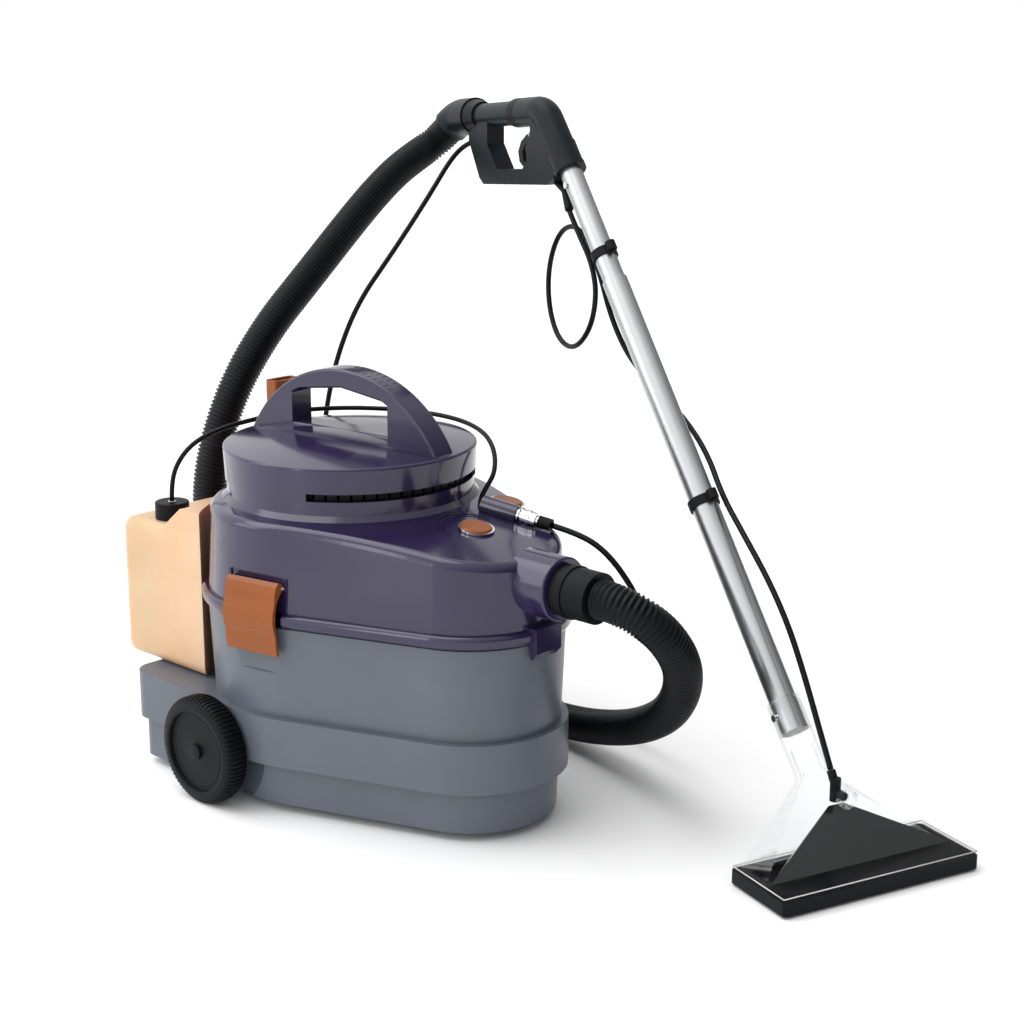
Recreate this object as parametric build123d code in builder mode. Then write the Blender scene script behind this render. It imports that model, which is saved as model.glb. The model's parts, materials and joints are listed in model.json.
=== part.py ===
from build123d import *
import os
from math import acos, cos, degrees, pi, radians, sin, sqrt, tan

# Spray-extraction carpet cleaner: a wheeled tank with a lift-off motor head, a cleaning-solution
# bottle on the rear ledge, and a suction wand with a clear carpet nozzle. All sizes in millimetres.
# Everything is drawn in the machine's frame: the drum axis is the Z axis, the floor is z = 0,
# the hose inlet looks along +X. The file frame's origin is on the floor, below the middle of the
# box round the machine and its wand; DRUM_AT is where the drum axis stands in it.
DRUM_AT = (-212.4, -130.0, 0.0)

FIT = 0.05          # radial clearance of running fits
GAP = 0.3           # clearance between pieces that move apart

# Body outline at the tank rim
BODY_REAR = 161.0
BODY_FRONT = 308.0
BODY_HALF = 179.0
BODY_MIDDLE = -3.0  # where the outline is widest
NOSE_R = 108.0
ROUND = 0.5523      # handle length of a Bezier curve that draws a quarter of an ellipse

# Tank
TANK_FLOOR = 11.0
TANK_RIM = 229.0
TANK_DRAFT = 10.0   # how far the outline draws in from the rim to the floor
BAND_LOW = 62.0
BAND_TOP = 120.0
BAND_OUT = 3.5
WALL = 3.0
LEDGE_REAR = -212.0
LEDGE_HALF = 179.0
LEDGE_RADIUS = 26.0

# Rear wheels
WHEEL_R = 65.0
WHEEL_WIDE = 29.5
WHEEL_X = -45.5
WHEEL_FACE = 213.5  # outer face of each wheel, from the middle plane
AXLE_R = 5.0

# Front casters
CASTER_X = 200.0
CASTER_Y = 62.0
CASTER_R = 15.0
CASTER_TRAIL = 6.0
CASTER_WELL_R = 25.5
CASTER_WELL_TOP = 48.0

# Motor head
HEAD_FOOT = 231.0
BEAD_TOP = 247.0
BEAD_OUT = 7.0
SHOULDER_Z = 334.0
NECK_R = 147.0
NECK_TOP = 371.5
LID_LOW = 372.0
LID_EDGE = 411.4
LID_R = 150.4
DOME_RISE = 13.0
SLOT_HIGH = 9.0
SLOT_FROM = -62.0   # exhaust slot, degrees round the drum axis
SLOT_TO = 38.0

# Carry handle
HANDLE_TURN = 7.0
ARCH_R = 161.0
ARCH_CENTRE_Z = 337.0
ARCH_HALF_WIDE = 17.0

# Control panel
PANEL_TURN = 17.7
PANEL_SLOPE = 10.0
NEAR_BUTTON = (0.0, 208.0)     # degrees round the drum axis, and distance from it
FAR_BUTTON = (31.5, 190.0)
BUTTON_R = 18.4
BEZEL_R = 21.0
COUPLING_Z = 352.0  # height of its axis where the boss starts
BOSS_R = 10.5
BOSS_FROM = 176.0
BOSS_TO = 222.0

# Hose inlet
INLET_Z = 297.0
INLET_FACE = 341.7
INLET_R = 36.0
CUFF_R = 28.5
CUFF_END = 392.0

# Side latches
LATCH_TURN = 79.7   # the latches stand square to the outline at this azimuth
LATCH_WIDE = 73.0
LATCH_LOW = 199.0
LATCH_PIVOT_R = 176.5
LATCH_PIVOT_Z = 277.0

# Solution bottle
BOTTLE_REAR = -272.0
BOTTLE_HALF = 141.0
BOTTLE_TOP = 297.0
CAP_AT = (-214.0, -104.0)
CAP_R = 21.0

# Wand, drawn in its own upright plane: s runs forward from the nozzle's middle, z is up
NOZZLE_AT = (632.0, 149.3)
NOZZLE_TURN = -18.6
NOZZLE_WIDE = 258.0
NOZZLE_DEEP = 99.0
PLATE_TOP = 22.0
SOLE_TOP = 16.0
WAND_TOP = (-629.0, 705.0)
WAND_LEAN = 48.4
UPPER_TUBE_R = 14.0
LOWER_TUBE_R = 16.0
TUBE_WALL = 1.2
JOINT_AT = 166.0    # along the wand, down from the handle's sleeve
LOWER_END = 738.0
COLLAR_END = 822.0
GRIP_TURN = 5.0     # the grip rises towards the elbow
GRIP_LOW = (-971.0, 753.0)
GRIP_R = 16.0
SPIGOT_R = 15.0
CUFF_OUT = (-0.70, -0.16, -0.69)  # the way the hose leaves its bent cuff

SCREWS = ((-862, 705), (-800, 684), (-657.5, 726), (-756, 688))
TRIGGER_PIVOT = (-718, 746)

# Hoses and tubes: outer diameters, and the points of their routes
SUCTION_D = 44.0
SPRAY_D = 7.0
BOTTLE_TUBE_D = 6.0

SUCTION_ROUTE = [
    (392.2, 0.0, 297.0), (406.0, 0.0, 297.0), (423.0, 4.0, 293.0), (437.7, 11.2, 285.4),
    (448.3, 21.3, 274.9), (454.0, 36.0, 260.0), (452.0, 62.0, 232.0), (440.0, 88.0, 200.0),
    (412.0, 118.0, 160.0), (368.0, 150.0, 118.0), (306.0, 182.0, 80.0), (236.0, 212.0, 50.0),
    (162.0, 232.0, 30.0), (86.0, 241.0, 22.8), (8.0, 247.0, 22.3), (-70.0, 246.0, 22.3),
    (-146.0, 234.0, 24.0), (-220.0, 206.0, 32.0), (-280.0, 158.0, 58.0), (-310.0, 106.0, 104.0),
    (-316.0, 60.0, 166.0),
    (-308.0, 24.0, 240.0), (-303.0, 26.0, 330.0), (-301.0, 66.0, 422.0), (-300.0, 128.0, 496.0),
    (-300.0, 196.0, 552.0), (-302.0, 262.0, 606.0), (-305.0, 322.0, 652.0), (-309.0, 370.0, 682.0),
    (-309.0, 408.0, 701.0), (-303.0, 431.0, 714.0), (-289.8, 444.2, 728.7), (-276.5, 447.2, 741.8),
]
SPRAY_ROUTE = [
    (250.7, 80.0, 336.5), (285.0, 91.0, 330.3), (318.0, 98.0, 314.0), (345.0, 108.0, 280.0),
    (358.0, 128.0, 230.0), (352.0, 170.0, 168.0), (322.0, 218.0, 106.0), (262.0, 264.0, 52.0),
    (186.0, 294.0, 18.0), (100.0, 306.0, 6.5), (8.0, 302.0, 5.0), (-84.0, 306.0, 6.5),
    (-168.0, 298.0, 12.0), (-236.0, 276.0, 36.0), (-280.0, 248.0, 88.0), (-292.0, 222.0, 158.0),
    (-284.0, 200.0, 236.0), (-268.0, 188.0, 316.0), (-254.0, 188.0, 394.0), (-248.0, 206.0, 462.0),
    (-248.0, 244.0, 524.0), (-241.0, 296.0, 580.0), (-232.0, 340.0, 634.0), (-232.0, 374.0, 670.0),
    (-236.0, 400.0, 694.0), (-238.0, 422.0, 711.0), (-230.0, 434.0, 722.0), (-214.8, 434.3, 727.0),
]
BOTTLE_ROUTE = [
    (-214.0, -104.0, 318.0), (-214.0, -104.0, 338.0), (-209.0, -98.0, 366.0), (-196.0, -80.0, 392.0),
    (-179.0, -48.0, 407.0), (-170.0, -4.0, 412.0), (-166.0, 52.0, 415.0), (-126.0, 110.0, 416.0),
    (-60.0, 151.0, 416.0), (14.0, 162.0, 415.0), (82.0, 142.0, 412.0), (126.0, 116.0, 400.0),
    (150.0, 92.0, 380.0), (150.0, 74.0, 362.0), (147.0, 70.0, 352.0), (147.0, 70.0, 342.5),
]
# Along the wand: s, z and the distance to the far side of the wand's plane
WAND_HOSE_ROUTE = [
    (-620.0, 657.0, -7.0), (-596.0, 630.0, -7.0), (-568.0, 600.0, -5.0), (-548.0, 562.0, -8.0),
    (-556.0, 516.0, -12.0), (-594.0, 484.0, -14.0), (-640.0, 492.0, -12.0), (-674.0, 532.0, -7.0),
    (-684.0, 582.0, -1.0), (-666.0, 626.0, 4.0), (-628.0, 640.0, 6.0), (-592.0, 618.0, 6.0),
    (-564.0, 582.0, 6.0), (-540.0, 532.0, 8.0), (-508.0, 488.0, 14.0), (-462.0, 454.0, 26.0),
    (-404.0, 428.0, 31.0), (-344.0, 396.0, 26.0), (-294.0, 358.0, 14.0), (-240.0, 322.0, 10.0),
    (-188.0, 284.0, 8.0), (-144.0, 242.0, 6.0), (-108.0, 196.0, 3.0), (-76.0, 150.0, 0.0),
    (-50.0, 106.0, 0.0),
]

FORWARD = Vector(cos(radians(NOZZLE_TURN)), sin(radians(NOZZLE_TURN)), 0)
ACROSS = Vector(-FORWARD.Y, FORWARD.X, 0)
UP = Vector(0, 0, 1)
WAND_DIR = Vector(cos(radians(WAND_LEAN)), -sin(radians(WAND_LEAN)))

WAND_PLANE = Plane(origin=(*NOZZLE_AT, 0), x_dir=FORWARD, z_dir=ACROSS * -1)
NOZZLE_PLANE = Plane(origin=(*NOZZLE_AT, 0), x_dir=FORWARD, z_dir=UP)


def in_wand(s, z, across=0.0):
    """A point of the wand's own plane, or beside it, in the machine's frame."""
    return Vector(*NOZZLE_AT, 0) + FORWARD * s + UP * z + ACROSS * across


def down_wand(distance, front=0.0, across=0.0):
    """A point on the wand's axis, or beside it towards the front of the wand or the far side."""
    s = WAND_TOP[0] + WAND_DIR.X * distance - WAND_DIR.Y * front
    z = WAND_TOP[1] + WAND_DIR.Y * distance + WAND_DIR.X * front
    return in_wand(s, z, across)


def across_wand(distance):
    """The plane square to the wand's axis, its normal down the wand, its x to the wand's front."""
    along = down_wand(1) - down_wand(0)
    front = down_wand(0, 1) - down_wand(0)
    return Plane(origin=down_wand(distance), x_dir=front, z_dir=along)


def side_plane(y):
    """An upright plane that looks along +Y, with x forward and y up."""
    return Plane(origin=(0, y, 0), x_dir=(1, 0, 0), z_dir=(0, -1, 0))


def front_plane(x):
    """The plane square to X, its x along +Y and its y up."""
    return Plane(origin=(x, 0, 0), x_dir=(0, 1, 0), z_dir=(1, 0, 0))


def latch_plane(side, radius=0.0):
    """An upright plane through a latch's middle: x points out of the body, y up."""
    out = Vector(cos(radians(LATCH_TURN)), side * sin(radians(LATCH_TURN)), 0)
    return Plane(origin=Vector(BODY_MIDDLE, 0, 0) + out * radius, x_dir=out, z_dir=out.cross(UP))


def radial_plane(turn, radius, z, slope=0.0):
    """A plane on a surface that falls away from the drum; x points outwards, z out of it."""
    out = Vector(cos(radians(turn)), sin(radians(turn)), 0)
    fall = radians(slope)
    return Plane(
        origin=out * radius + UP * z,
        x_dir=out * cos(fall) - UP * sin(fall),
        z_dir=out * sin(fall) + UP * cos(fall),
    )


def coupling_plane(radius):
    """A plane square to the spray coupling's axis, which runs out along the sloping panel."""
    out = Vector(cos(radians(PANEL_TURN)), sin(radians(PANEL_TURN)), 0)
    fall = radians(PANEL_SLOPE)
    return Plane(
        origin=out * radius + UP * (COUPLING_Z - (radius - BOSS_FROM) * tan(fall)),
        x_dir=UP * cos(fall) + out * sin(fall),
        z_dir=out * cos(fall) - UP * sin(fall),
    )


def button_plane(button, lift):
    """The plane of a button on the sloping panel, lifted out of it."""
    turn, radius = button
    return radial_plane(turn, radius, panel_z(radius), PANEL_SLOPE).offset(lift)


def panel_z(radius):
    """Height of the sloping top of the head at a distance from the drum axis."""
    return 350.0 - (radius - 150.0) * tan(radians(PANEL_SLOPE))


def save(part, name):
    """Label a finished piece and write it in the file's frame."""
    placed = part.moved(Location(DRUM_AT))
    placed.label = name
    export_step(placed, f"parts/{name}.step")


def egg(height, inset):
    """Egg-shaped outline of the body, drawn in from the rim's outline."""
    half = BODY_HALF - inset
    rear = BODY_REAR + BODY_MIDDLE - inset
    nose = NOSE_R - inset
    nose_x = BODY_FRONT - NOSE_R
    turn = degrees(acos((half - nose) / (nose_x - BODY_MIDDLE)))
    with BuildSketch(Plane.XY.offset(height)) as outline:
        with BuildLine():
            Bezier((inset - BODY_REAR, 0), (inset - BODY_REAR, half * ROUND),
                   (BODY_MIDDLE - rear * ROUND, half), (BODY_MIDDLE, half))
            CenterArc((BODY_MIDDLE, 0), half, turn, 90 - turn)
            Line((BODY_MIDDLE + half * cos(radians(turn)), half * sin(radians(turn))),
                 (nose_x + nose * cos(radians(turn)), nose * sin(radians(turn))))
            CenterArc((nose_x, 0), nose, 0, turn)
            mirror(about=Plane.XZ)
        make_face()
    return outline.sketch


def ledge_block(height, inset):
    """Outline of the squared-off rear of the tank."""
    length = -LEDGE_REAR - inset
    with BuildSketch(Plane.XY.offset(height)) as outline:
        with Locations((-length / 2, 0)):
            RectangleRounded(length, 2 * (LEDGE_HALF - inset), LEDGE_RADIUS - inset)
    return outline.sketch


def cord(route, diameter, name):
    """A round tube along straight runs joined by tangent arcs; returns its part."""
    points = [Vector(*p) for p in route]
    radii = []
    for before, here, after in zip(points, points[1:], points[2:]):
        run_in = here - before
        run_out = after - here
        half_turn = radians(run_in.get_angle(run_out)) / 2
        radii.append(0.45 * min(run_in.length, run_out.length) / tan(half_turn))
    with BuildPart() as tube:
        with BuildLine() as path:
            FilletPolyline(*points, radius=radii)
        with BuildSketch(Plane(origin=points[0], z_dir=points[1] - points[0])):
            Circle(diameter / 2)
        sweep()
    length = path.wires()[0].length
    section = pi * diameter**2 / 4
    print(name, "length", round(length, 1), "volume ratio", round(tube.part.volume / section / length, 4),
          "tightest radius", round(min(radii), 1))
    return tube.part


os.makedirs("parts", exist_ok=True)

# ---------------------------------------------------------------- tank
with BuildPart() as tank:
    add(loft([egg(TANK_FLOOR, TANK_DRAFT).face(), egg(TANK_RIM, 0).face()]))
    with BuildSketch(Plane.XY.offset(BAND_LOW)):
        add(egg(0, -BAND_OUT))
        add(ledge_block(0, 0))
    extrude(amount=BAND_TOP - BAND_LOW)
    with BuildSketch(Plane.XY.offset(TANK_FLOOR)):
        add(ledge_block(0, 8))
    extrude(amount=BAND_LOW - TANK_FLOOR)
    add(loft([egg(TANK_FLOOR + 4, 24).face(), egg(TANK_RIM, WALL).face()]), mode=Mode.SUBTRACT)
    # hollow under the rear ledge, open at the bottom
    with BuildSketch(Plane.XY.offset(TANK_FLOOR)):
        with Locations((-185, 0)):
            Rectangle(34, 300)
    extrude(amount=BAND_TOP - TANK_FLOOR - 4, mode=Mode.SUBTRACT)
    # wheel recesses in the lower side walls
    for side in (-1, 1):
        with BuildSketch(side_plane(side * 188)):
            with Locations((WHEEL_X, WHEEL_R)):
                Circle(WHEEL_R + 8)
            with Locations((WHEEL_X, 100)):
                Rectangle(2 * (WHEEL_R + 9), 2 * (100 - BAND_LOW), mode=Mode.SUBTRACT)
        extrude(amount=side * 24.5, mode=Mode.SUBTRACT)
        # finger recess under each latch
        with BuildSketch(latch_plane(side)):
            with Locations((184, LATCH_LOW - 8)):
                Rectangle(19, 34)
        extrude(amount=LATCH_WIDE / 2 + 2, both=True, mode=Mode.SUBTRACT)
        # caster wells
        with Locations((CASTER_X, side * CASTER_Y, TANK_FLOOR)):
            Cylinder(CASTER_WELL_R + 3, CASTER_WELL_TOP - TANK_FLOOR + 4,
                     align=(Align.CENTER, Align.CENTER, Align.MIN))
            Cylinder(10, 62, align=(Align.CENTER, Align.CENTER, Align.MIN))
            Cylinder(CASTER_WELL_R, CASTER_WELL_TOP - TANK_FLOOR, mode=Mode.SUBTRACT,
                     align=(Align.CENTER, Align.CENTER, Align.MIN))
            Cylinder(5 + FIT, 58, mode=Mode.SUBTRACT, align=(Align.CENTER, Align.CENTER, Align.MIN))
    # axle tunnel through the tank
    with BuildSketch(side_plane(0)):
        with Locations((WHEEL_X, WHEEL_R)):
            Circle(AXLE_R + 5)
    extrude(amount=172, both=True)
    with BuildSketch(side_plane(0)):
        with Locations((WHEEL_X, WHEEL_R)):
            Circle(AXLE_R)
    extrude(amount=200, both=True, mode=Mode.SUBTRACT)
save(tank.part, "tank")

with BuildPart() as rim_gasket:
    with BuildSketch(Plane.XY.offset(TANK_RIM)):
        add(egg(0, 0.2))
        add(egg(0, WALL - 0.2), mode=Mode.SUBTRACT)
    extrude(amount=HEAD_FOOT - TANK_RIM - 0.2)
save(rim_gasket.part, "rim_gasket")

# ---------------------------------------------------------------- wheels
with BuildPart() as wheel_axle:
    with BuildSketch(side_plane(0)):
        with Locations((WHEEL_X, WHEEL_R)):
            Circle(AXLE_R)
    extrude(amount=WHEEL_FACE - 9, both=True)
    # push-on caps that keep the wheels on
    for side in (-1, 1):
        with BuildSketch(side_plane(side * (WHEEL_FACE - 9))):
            with Locations((WHEEL_X, WHEEL_R)):
                Circle(9)
        extrude(amount=-side * 4)
save(wheel_axle.part, "wheel_axle")


def wheel(side):
    """Moulded wheel with a ribbed tread and a recessed disc, outer face towards the side."""
    outer = side * WHEEL_FACE
    with BuildPart() as rolling:
        with BuildSketch(side_plane(outer)):
            with Locations((WHEEL_X, WHEEL_R)):
                Circle(WHEEL_R)
        extrude(amount=side * WHEEL_WIDE)
        fillet(rolling.edges().filter_by(GeomType.CIRCLE), 3)
        with BuildSketch(side_plane(outer)):
            with Locations((WHEEL_X, WHEEL_R)):
                Circle(WHEEL_R * 0.75)
        extrude(amount=side * 4, mode=Mode.SUBTRACT)
        with BuildSketch(side_plane(outer - side * 4)):
            with Locations((WHEEL_X, WHEEL_R)):
                Circle(9 + GAP)
        extrude(amount=side * 5.5, mode=Mode.SUBTRACT)
        # hollow inner side
        with BuildSketch(side_plane(outer - side * WHEEL_WIDE)):
            with Locations((WHEEL_X, WHEEL_R)):
                Circle(WHEEL_R - 10)
                Circle(12, mode=Mode.SUBTRACT)
        extrude(amount=-side * 16, mode=Mode.SUBTRACT)
        with BuildSketch(side_plane(outer)):
            with Locations((WHEEL_X, WHEEL_R)):
                Circle(AXLE_R + FIT)
        extrude(amount=side * WHEEL_WIDE, mode=Mode.SUBTRACT)
    return rolling.part


save(wheel(-1), "right_wheel")
save(wheel(1), "left_wheel")

# ---------------------------------------------------------------- casters
for side, name in ((-1, "right"), (1, "left")):
    swivel = (CASTER_X, side * CASTER_Y)
    hub = (CASTER_X - CASTER_TRAIL, side * CASTER_Y)
    with BuildPart() as fork:
        with Locations((*swivel, 43)):
            Cylinder(17, 4.5, align=(Align.CENTER, Align.CENTER, Align.MIN))
        with Locations((*swivel, 47)):
            Cylinder(5, 20, align=(Align.CENTER, Align.CENTER, Align.MIN))
        for cheek in (-1, 1):
            with BuildSketch(side_plane(hub[1] + cheek * 9.5)):
                with BuildLine():
                    Polyline((hub[0] - 6, CASTER_R - 5), (hub[0] + 6, CASTER_R - 5), (hub[0] + 14, 43.5),
                             (hub[0] - 8, 43.5), close=True)
                make_face()
            extrude(amount=1, both=True)
        # wheel pin, riveted into the cheeks
        with BuildSketch(side_plane(hub[1])):
            with Locations((hub[0], CASTER_R)):
                Circle(3)
        extrude(amount=9.5, both=True)
    save(fork.part, f"{name}_caster_fork")
    with BuildPart() as roller:
        with BuildSketch(side_plane(hub[1])):
            with Locations((hub[0], CASTER_R)):
                Circle(CASTER_R)
                Circle(3 + FIT, mode=Mode.SUBTRACT)
        extrude(amount=7.5, both=True)
        fillet(roller.edges().filter_by(GeomType.CIRCLE).sort_by(SortBy.RADIUS)[-2:], 2)
    save(roller.part, f"{name}_caster_wheel")

# ---------------------------------------------------------------- solution bottle
with BuildPart() as bottle:
    with BuildSketch(side_plane(0)):
        with BuildLine():
            Polyline((BOTTLE_REAR, BAND_TOP + 0.1), (-100, BAND_TOP + 0.1), (-100, 326), (-150, 326),
                     (-186, BOTTLE_TOP), (BOTTLE_REAR, BOTTLE_TOP), close=True)
        make_face()
    extrude(amount=BOTTLE_HALF, both=True)
    fillet(bottle.edges().filter_by(Axis.Y).sort_by(Axis.X)[:2], 16)
    fillet(bottle.edges().filter_by(Axis.Z).sort_by(Axis.X)[:2], 14)
    with BuildSketch(Plane.XY.offset(BAND_TOP)):
        add(egg(0, -BEAD_OUT - 2))
    extrude(amount=240, mode=Mode.SUBTRACT)
    with Locations((*CAP_AT, BOTTLE_TOP - 1)):
        Cylinder(16, 15, align=(Align.CENTER, Align.CENTER, Align.MIN))
    # hollow
    with BuildSketch(Plane.XY.offset(BAND_TOP + 6)):
        with Locations((-230, 0)):
            RectangleRounded(66, 2 * BOTTLE_HALF - 8, 12)
    extrude(amount=BOTTLE_TOP - BAND_TOP - 13, mode=Mode.SUBTRACT)
    with Locations((*CAP_AT, BOTTLE_TOP - 10)):
        Cylinder(13, 30, mode=Mode.SUBTRACT, align=(Align.CENTER, Align.CENTER, Align.MIN))
save(bottle.part, "solution_bottle")

with BuildPart() as bottle_cap:
    with Locations((*CAP_AT, BOTTLE_TOP + GAP)):
        Cylinder(CAP_R, 20.7, align=(Align.CENTER, Align.CENTER, Align.MIN))
    fillet(bottle_cap.edges().sort_by(Axis.Z)[-1], 2)
    with Locations((*CAP_AT, BOTTLE_TOP)):
        Cylinder(16 + GAP, 16, mode=Mode.SUBTRACT, align=(Align.CENTER, Align.CENTER, Align.MIN))
        Cylinder(5 + GAP, 30, mode=Mode.SUBTRACT, align=(Align.CENTER, Align.CENTER, Align.MIN))
save(bottle_cap.part, "bottle_cap")

with BuildPart() as dip_tube:
    with Locations((*CAP_AT, BAND_TOP + 14)):
        Cylinder(3, BOTTLE_TOP + 21 - BAND_TOP - 14, align=(Align.CENTER, Align.CENTER, Align.MIN))
    with Locations((*CAP_AT, BAND_TOP + 8)):
        Cylinder(7, 14, align=(Align.CENTER, Align.CENTER, Align.MIN))
    with Locations((*CAP_AT, BOTTLE_TOP + 15.0)):
        Cylinder(5, 6, align=(Align.CENTER, Align.CENTER, Align.MIN))
save(dip_tube.part, "dip_tube")

# ---------------------------------------------------------------- motor head


def top_profile(drop, neck_r, z_low):
    """Revolved solid under the head's sloping top and its drum neck, lowered for the inside."""
    with BuildPart() as body:
        with BuildSketch(Plane.XZ):
            with BuildLine():
                Polyline((0, z_low), (340, z_low), (340, panel_z(340) - drop),
                         (neck_r + 6, panel_z(neck_r + 6) - drop), (neck_r, panel_z(neck_r) + 5 - drop),
                         (neck_r, NECK_TOP - drop), (0, NECK_TOP - drop), close=True)
            make_face()
        revolve(axis=Axis.Z)
    return body.part


with BuildPart() as head_body:
    add(loft([egg(HEAD_FOOT, 0).face(), egg(NECK_TOP + 5, 8).face()]))
    add(top_profile(0, NECK_R, HEAD_FOOT), mode=Mode.INTERSECT)
    shoulder = head_body.edges().filter_by(lambda e: SHOULDER_Z - 25 < e.center().Z < panel_z(150) - 1)
    fillet([e for e in shoulder if e.length > 120], 11)
head_outer = head_body.part

with BuildPart() as head_shell:
    add(head_outer)
    with BuildPart(mode=Mode.PRIVATE) as bead:
        add(loft([egg(HEAD_FOOT, -BEAD_OUT).face(), egg(BEAD_TOP, -BEAD_OUT).face()]))
        fillet(bead.edges().group_by(Axis.Z)[0], 6)
        fillet(bead.edges().group_by(Axis.Z)[-1], 6)
    add(bead.part)
    with BuildPart(mode=Mode.PRIVATE) as inside:
        add(loft([egg(HEAD_FOOT, 4).face(), egg(NECK_TOP + 5, 12).face()]))
        add(top_profile(4, NECK_R - 4, HEAD_FOOT), mode=Mode.INTERSECT)
    add(inside.part, mode=Mode.SUBTRACT)
    # opening under the lid
    with Locations((0, 0, NECK_TOP)):
        Cylinder(132, 30, mode=Mode.SUBTRACT)
    # latch pockets with their backing blocks
    for side in (-1, 1):
        with BuildSketch(latch_plane(side)):
            with Locations((166, 267)):
                Rectangle(14, 42)
        extrude(amount=LATCH_WIDE / 2 + 6, both=True)
        with BuildSketch(latch_plane(side)):
            with Locations((LATCH_PIVOT_R + 4.5, 259.5)):
                Rectangle(20, 61)
        extrude(amount=LATCH_WIDE / 2 + 2.5, both=True, mode=Mode.SUBTRACT)
        with BuildSketch(latch_plane(side)):
            with Locations((LATCH_PIVOT_R, LATCH_PIVOT_Z)):
                Circle(2)
        extrude(amount=LATCH_WIDE / 2 + 5, both=True, mode=Mode.SUBTRACT)
    # inlet opening in the nose
    with BuildSketch(front_plane(250)):
        with Locations((0, INLET_Z)):
            Circle(CUFF_R + 0.6)
    extrude(amount=80, mode=Mode.SUBTRACT)
    # front hook over the tank rim
    with BuildSketch(side_plane(0)):
        with BuildLine():
            Polyline((305, 250), (320, 250), (320, 222), (313, 214), (310.5, 214), (310.5, 231.5),
                     (305, 231.5), close=True)
        make_face()
    extrude(amount=20, both=True)
    # rear post that carries the tool holder
    with BuildSketch(Plane.XY.offset(329)):
        with Locations((-160.5, 36)):
            RectangleRounded(15, 36, 4)
    extrude(amount=75)
    # button and coupling seats
    for button in (NEAR_BUTTON, FAR_BUTTON):
        with BuildSketch(button_plane(button, -19)):
            Circle(BUTTON_R + 1.4)
        extrude(amount=36, mode=Mode.SUBTRACT)
    # hole that the bottle's tube enters by
    with Locations(BOTTLE_ROUTE[-1]):
        Cylinder(BOTTLE_TUBE_D / 2 + GAP, 30, mode=Mode.SUBTRACT)
    # trough for the spray coupling, closed below
    with BuildPart(mode=Mode.PRIVATE) as liner:
        with BuildSketch(coupling_plane(190)):
            Circle(15)
        extrude(amount=72)
        add(head_outer, mode=Mode.INTERSECT)
    add(liner.part)
    with BuildSketch(coupling_plane(BOSS_TO - 1)):
        Circle(12.5)
    extrude(amount=60, mode=Mode.SUBTRACT)
    with BuildSketch(coupling_plane(BOSS_FROM)):
        Circle(BOSS_R)
    extrude(amount=BOSS_TO - BOSS_FROM - 1)
    with BuildSketch(coupling_plane(BOSS_FROM + 20)):
        Circle(4)
    extrude(amount=60, mode=Mode.SUBTRACT)
save(head_shell.part, "head_shell")

DOME_SPHERE = ((LID_R - 5) ** 2 + DOME_RISE**2) / (2 * DOME_RISE)


def dome_solid(edge_r, drop):
    """Solid under the lid's spherical top, lowered by drop, down to the skirt's lower edge."""
    top = LID_EDGE + DOME_RISE - drop
    low = top - DOME_SPHERE + sqrt(DOME_SPHERE**2 - edge_r**2)
    middle = top - DOME_SPHERE + sqrt(DOME_SPHERE**2 - edge_r**2 / 4)
    with BuildPart() as dome:
        with BuildSketch(Plane.XZ):
            with BuildLine():
                ThreePointArc((0, top), (edge_r / 2, middle), (edge_r, low))
                Polyline((edge_r, low), (edge_r, LID_LOW - 2), (0, LID_LOW - 2), (0, top))
            make_face()
        revolve(axis=Axis.Z)
    return dome.part


with BuildPart() as lid:
    add(dome_solid(LID_R, 0))
    with BuildPart(mode=Mode.PRIVATE) as skirt:
        with BuildSketch(Plane.XY.offset(LID_LOW)):
            Circle(NECK_R + 1.6)
        extrude(amount=60, taper=-2.5)
    add(skirt.part, mode=Mode.INTERSECT)
    fillet(lid.edges().filter_by(lambda e: abs(e.center().Z - LID_EDGE) < 6), 3)
    add(dome_solid(NECK_R - 2, 3), mode=Mode.SUBTRACT)
    # exhaust slot along the skirt's lower edge
    with BuildPart(mode=Mode.PRIVATE) as slot:
        with BuildSketch(Plane.XZ):
            with Locations(((NECK_R + LID_R) / 2, LID_LOW + SLOT_HIGH / 2)):
                Rectangle(20, SLOT_HIGH)
        revolve(axis=Axis.Z, revolution_arc=SLOT_TO - SLOT_FROM)
    add(slot.part.rotate(Axis.Z, SLOT_FROM), mode=Mode.SUBTRACT)
save(lid.part, "lid")

with BuildPart() as exhaust_grille:
    with BuildSketch(Plane.XZ):
        with Locations((NECK_R - 9, LID_LOW + SLOT_HIGH / 2)):
            Rectangle(3, SLOT_HIGH)
    revolve(axis=Axis.Z)
    with BuildSketch(Plane.XY.offset(LID_LOW)):
        with PolarLocations(NECK_R - 9, 60):
            Rectangle(6, 3)
    extrude(amount=SLOT_HIGH - 2.5, mode=Mode.SUBTRACT)
save(exhaust_grille.part, "exhaust_grille")

# ---------------------------------------------------------------- carry handle
handle_plane = Plane(
    origin=(0, 0, 0),
    x_dir=(cos(radians(HANDLE_TURN)), sin(radians(HANDLE_TURN)), 0),
    z_dir=(sin(radians(HANDLE_TURN)), -cos(radians(HANDLE_TURN)), 0),
)


with BuildPart() as arch:
    with BuildSketch(handle_plane):
        with Locations((0, ARCH_CENTRE_Z)):
            Circle(ARCH_R)
        with Locations((0, LID_EDGE - 210)):
            Rectangle(400, 400, mode=Mode.SUBTRACT)
        with BuildLine():
            Polyline((-76, 427), (72, 427), (72, 462), (62, 467), (0, 476), (-64, 468), (-76, 462),
                     close=True)
        make_face(mode=Mode.SUBTRACT)
    extrude(amount=ARCH_HALF_WIDE, both=True)
    fillet(arch.edges().filter_by(lambda e: e.center().Z > 425 and abs(e.length - 2 * ARCH_HALF_WIDE) > 1), 3)

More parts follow.
